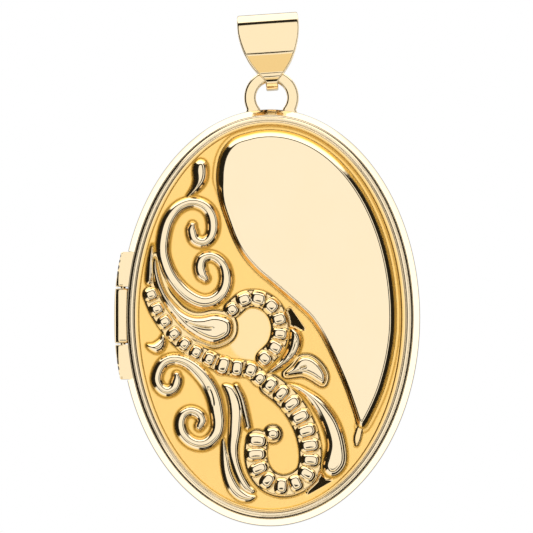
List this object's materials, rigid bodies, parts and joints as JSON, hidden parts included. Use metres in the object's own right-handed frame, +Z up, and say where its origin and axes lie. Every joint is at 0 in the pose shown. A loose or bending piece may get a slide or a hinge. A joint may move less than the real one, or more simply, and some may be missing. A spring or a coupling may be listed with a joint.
{
  "type": "oval picture locket",
  "caption": "Oval hinged picture locket with an embossed front, plain back, picture frames inside, a soldered hanging loop and a folded bail.",
  "frame": {"origin": "centre of the rounded chain seat inside the top of the bail", "axes": "+Z up as it hangs, the embossed front faces -Y, +X to the right seen from the front, hinge on the left at -X"},
  "size_m": [0.0235, 0.0054, 0.0395],
  "materials": {
    "case_gold": "polished yellow gold, the field behind the ornament softer",
    "fittings_gold": "polished pale gold",
    "window": "clear acetate sheet",
    "card": "plain uncoated card"
  },
  "bodies": {
    "bail": {"bail": "fittings_gold"},
    "back_half": {"hanging_loop": "fittings_gold", "back_rim": "case_gold", "back_cover": "case_gold", "snap_lip": "fittings_gold", "back_frame": "case_gold", "back_window": "window", "back_card": "card", "hinge_knuckle_middle": "fittings_gold", "hinge_plate_middle": "fittings_gold", "hinge_pin": "fittings_gold"},
    "front_half": {"front_rim": "case_gold", "front_cover": "case_gold", "front_frame": "case_gold", "front_window": "window", "front_card": "card", "hinge_knuckle_top": "fittings_gold", "hinge_knuckle_bottom": "fittings_gold", "hinge_plate_top": "fittings_gold", "hinge_plate_bottom": "fittings_gold"}
  },
  "joints": [
    {"name": "case_swing", "type": "hinge", "parent": "bail", "child": "back_half", "pos_m": [0.00023, 0, -0.00334], "axis": [1, 0, 0], "range_deg": [-50, 50]},
    {"name": "front_opening", "type": "hinge", "parent": "back_half", "child": "front_half", "pos_m": [-0.01117, -0.00052, -0.0218], "axis": [0, 0, -1], "range_deg": [0, 160]}
  ]
}
